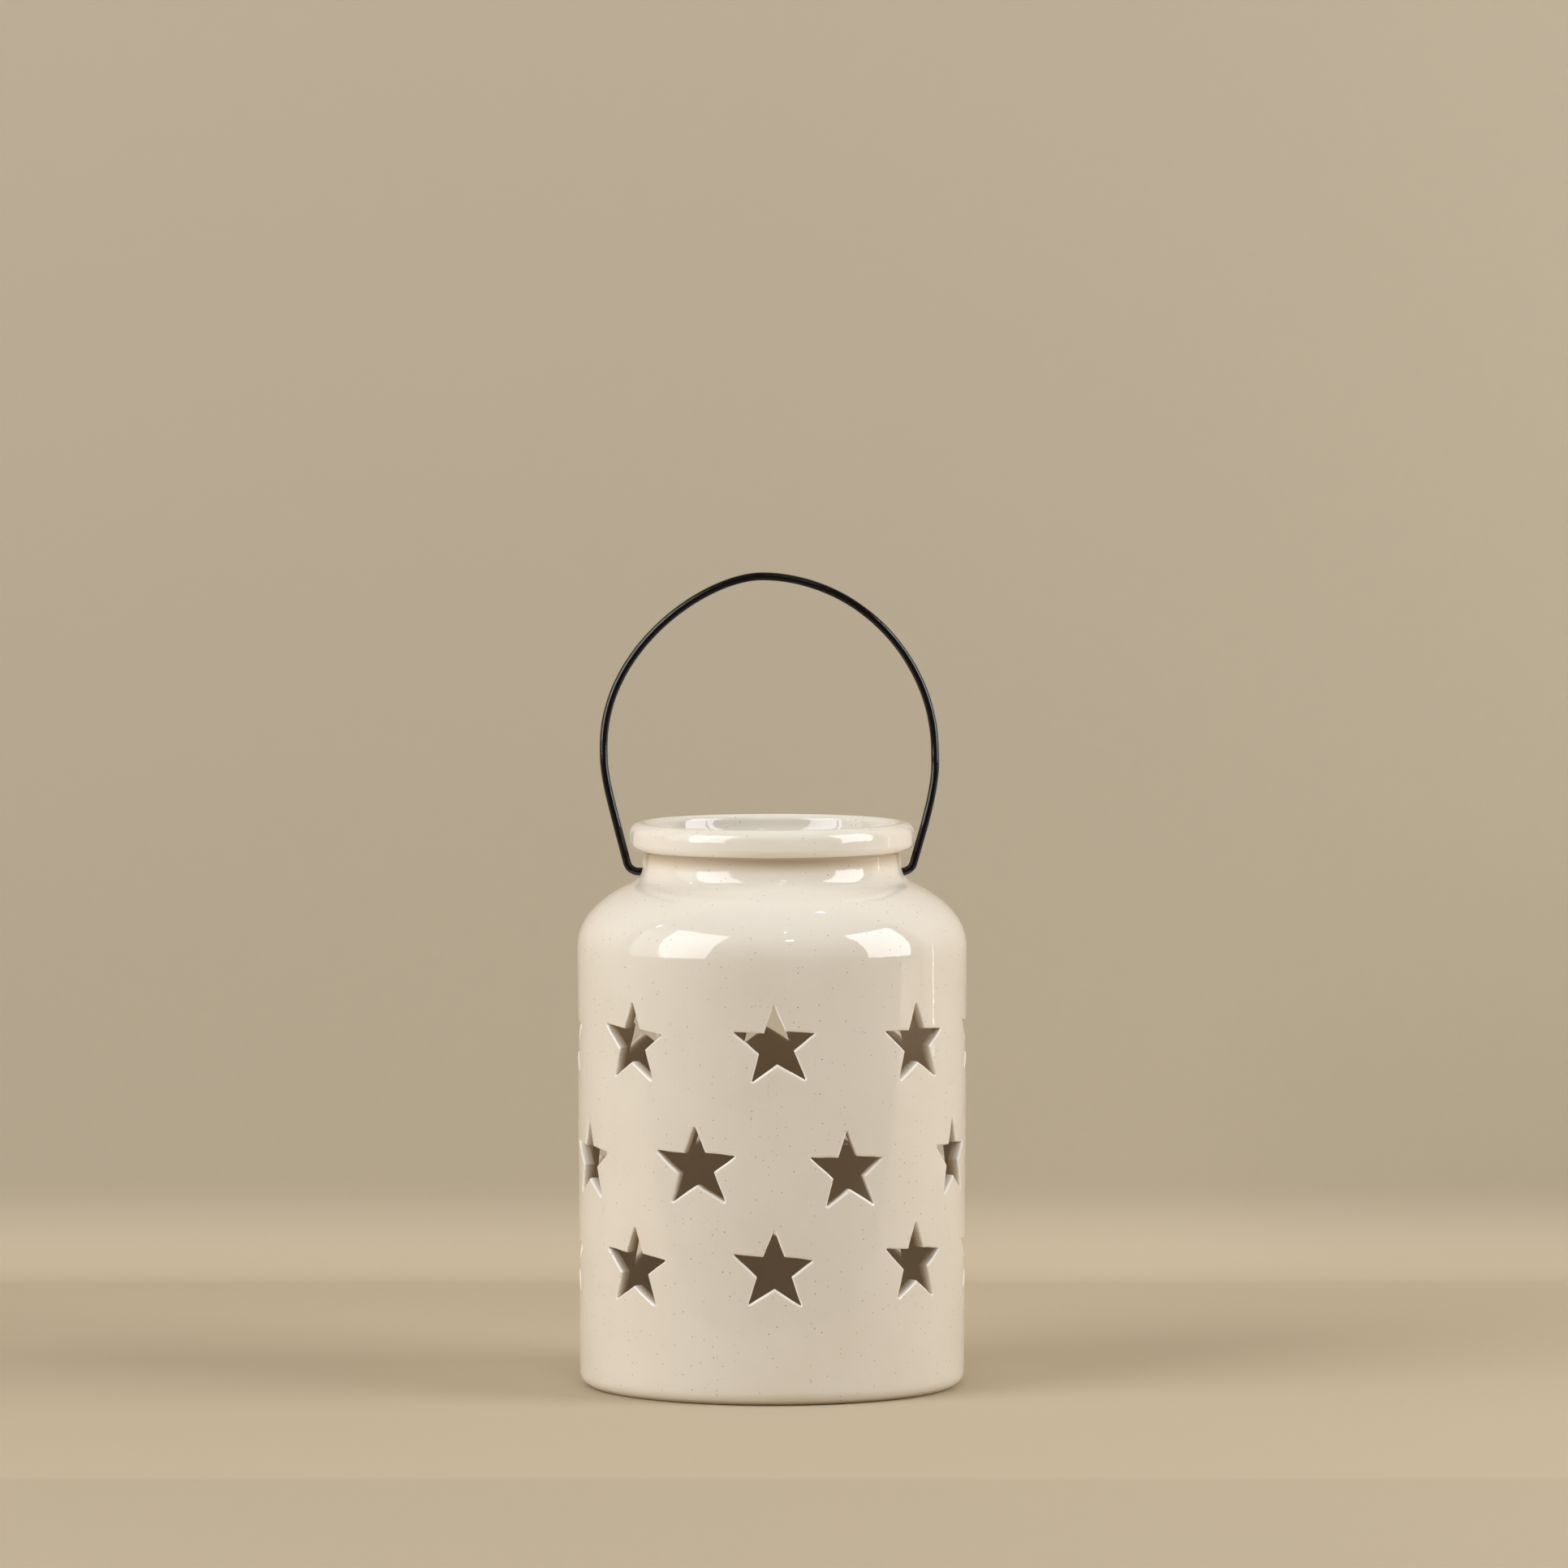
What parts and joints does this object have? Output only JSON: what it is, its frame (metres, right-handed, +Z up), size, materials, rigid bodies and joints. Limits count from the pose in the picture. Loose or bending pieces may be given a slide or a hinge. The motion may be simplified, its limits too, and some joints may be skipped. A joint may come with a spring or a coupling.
{
  "type": "ceramic lantern",
  "caption": "Glazed ceramic jar lantern with star cut-outs, a short neck with a rolled rim, a swinging black wire handle and a tealight inside.",
  "frame": {"origin": "middle of the pot's foot, on the surface that it stands on", "axes": "+Z up along the pot's axis, the front towards -Y, and the handle swings about a line along X through the neck"},
  "size_m": [0.1454, 0.1454, 0.3036],
  "materials": {
    "cream_glaze": "gloss",
    "black_wire": "gloss",
    "tealight_foil": "satin",
    "wax": "satin",
    "wick": "matte",
    "tinned_steel": "satin"
  },
  "bodies": {
    "pot": {"ceramic_pot": "cream_glaze"},
    "handle": {"wire_handle": "black_wire"},
    "tealight": {"tealight_cup": "tealight_foil", "tealight_wax": "wax", "tealight_wick": "wick", "wick_sustainer": "tinned_steel"}
  },
  "joints": [
    {"name": "handle_swing", "type": "hinge", "parent": "pot", "child": "handle", "pos_m": [0, 0, 0.1919], "axis": [1, 0, 0], "range_deg": [-108, 108]},
    {"name": "tealight_lift", "type": "slide", "parent": "pot", "child": "tealight", "axis": [0, 0, 1], "range_m": [0, 0.22]}
  ]
}
